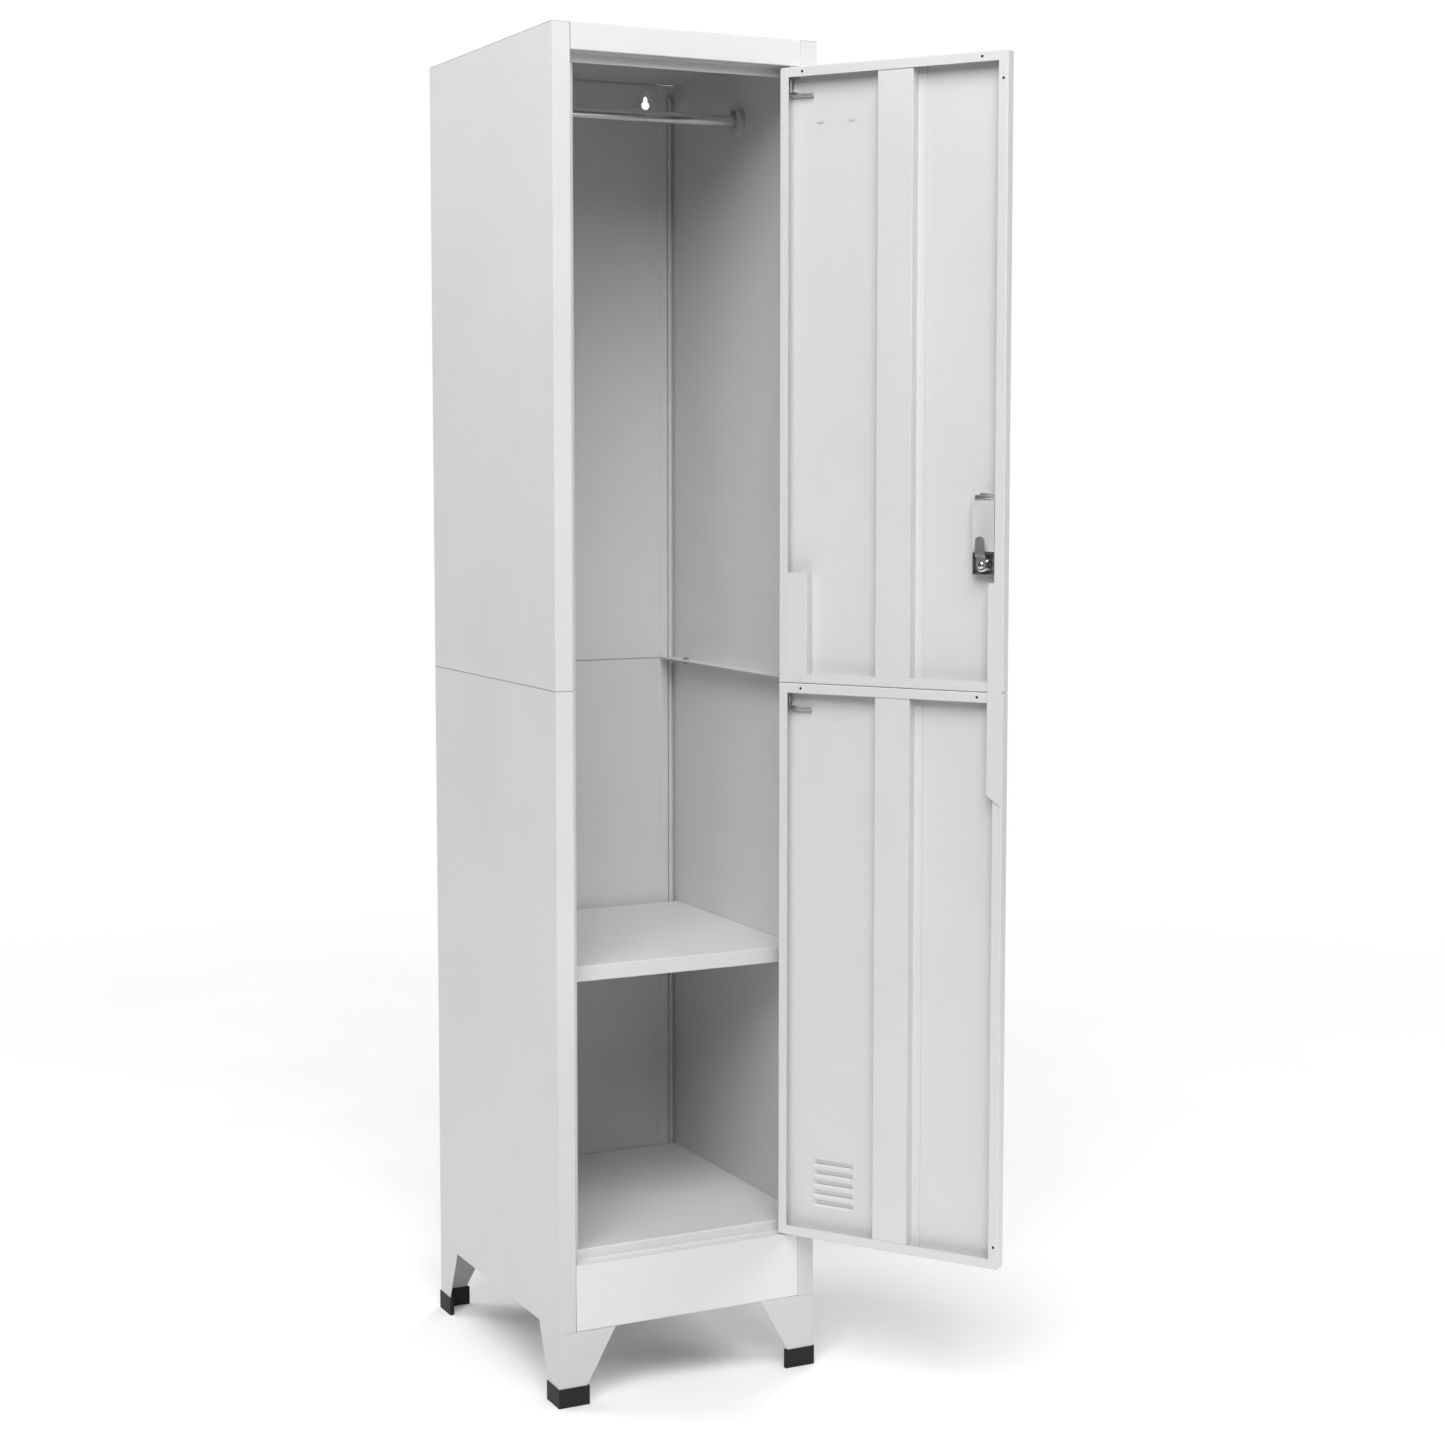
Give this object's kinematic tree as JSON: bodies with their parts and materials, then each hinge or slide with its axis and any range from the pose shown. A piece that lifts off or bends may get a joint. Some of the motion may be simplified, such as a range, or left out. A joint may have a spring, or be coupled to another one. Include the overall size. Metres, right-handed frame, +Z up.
{
  "type": "locker cabinet",
  "caption": "Tall narrow sheet-steel wardrobe locker on tapered legs, with a hinged cam-locked door, a low shelf and a hanging rail.",
  "frame": {"origin": "middle of the bounding box on the floor, with the door standing open at 124 degrees as in the rest pose", "axes": "+Z up, +Y to the back of the cabinet, out of its wall face, +X to the right as one faces the open front"},
  "size_m": [0.525, 0.7156, 1.8],
  "materials": {
    "light_grey_paint": "satin light grey powder coat",
    "grey_plastic": "satin light grey moulding",
    "black_plastic": "matt black moulding",
    "white_nylon": "natural nylon",
    "chrome": "bright plated",
    "zinc_plated_steel": "zinc plated",
    "dark_steel": "dark zinc alloy",
    "spring_steel": "drawn wire"
  },
  "bodies": {
    "cabinet": {"back_lower": "light_grey_paint", "back_upper": "light_grey_paint", "bottom_panel": "light_grey_paint", "foot_cap_back_left": "black_plastic", "foot_cap_back_right": "black_plastic", "foot_cap_front_left": "black_plastic", "foot_cap_front_right": "black_plastic", "hanging_rail": "chrome", "hinge_washer": "white_nylon", "left_side_lower": "light_grey_paint", "left_side_upper": "light_grey_paint", "leg_back_left": "light_grey_paint", "leg_back_right": "light_grey_paint", "leg_bolt_back_left": "zinc_plated_steel", "leg_bolt_back_right": "zinc_plated_steel", "leg_bolt_front_left": "zinc_plated_steel", "leg_bolt_front_right": "zinc_plated_steel", "leg_front_left": "light_grey_paint", "leg_front_right": "light_grey_paint", "rail_socket_left": "grey_plastic", "rail_socket_right": "grey_plastic", "right_side_lower": "light_grey_paint", "right_side_upper": "light_grey_paint", "seam_bolt_left_back": "zinc_plated_steel", "seam_bolt_left_front": "zinc_plated_steel", "seam_bolt_right_back": "zinc_plated_steel", "seam_bolt_right_front": "zinc_plated_steel", "shelf": "light_grey_paint", "shelf_clip_left_back": "zinc_plated_steel", "shelf_clip_left_front": "zinc_plated_steel", "shelf_clip_right_back": "zinc_plated_steel", "shelf_clip_right_front": "zinc_plated_steel", "top_panel": "light_grey_paint"},
    "door": {"door_bolt_free_side": "zinc_plated_steel", "door_bolt_hinge_side": "zinc_plated_steel", "door_lower": "light_grey_paint", "door_upper": "light_grey_paint", "handle_cup": "grey_plastic", "hinge_channel": "light_grey_paint", "hinge_pin_bottom": "zinc_plated_steel", "label_holder": "grey_plastic", "lock_barrel": "chrome", "lock_case": "dark_steel", "lock_nut": "zinc_plated_steel", "pin_bracket_lower": "zinc_plated_steel", "pin_bracket_upper": "zinc_plated_steel", "pin_spring_lower": "spring_steel", "pin_spring_upper": "spring_steel", "splice_plate": "light_grey_paint", "stiffener_lower": "light_grey_paint", "stiffener_upper": "light_grey_paint"},
    "lock_rotor": {"lock_plug": "chrome", "lock_cam": "dark_steel", "cam_screw": "chrome"},
    "upper_hinge_pin": {"hinge_pin_upper": "zinc_plated_steel"},
    "lower_hinge_pin": {"hinge_pin_lower": "zinc_plated_steel"}
  },
  "joints": [
    {"name": "door_hinge", "type": "hinge", "parent": "cabinet", "child": "door", "pos_m": [0.082, -0.08825, 0.95], "axis": [0, 0, 1], "range_deg": [-124, 6]},
    {"name": "lock_turn", "type": "hinge", "parent": "door", "child": "lock_rotor", "pos_m": [0.23392, -0.33136, 1.113], "axis": [-0.829, -0.5592, 0], "range_deg": [-90, 0]},
    {"name": "upper_pin_slide", "type": "slide", "parent": "door", "child": "upper_hinge_pin", "axis": [0, 0, -1], "range_m": [0, 0.009], "stiffness_N_per_m": 400, "springref_m": -0.004, "deforming": ["pin_spring_upper"]},
    {"name": "lower_pin_slide", "type": "slide", "parent": "door", "child": "lower_hinge_pin", "axis": [0, 0, -1], "range_m": [0, 0.009], "stiffness_N_per_m": 400, "springref_m": -0.004, "deforming": ["pin_spring_lower"]}
  ]
}
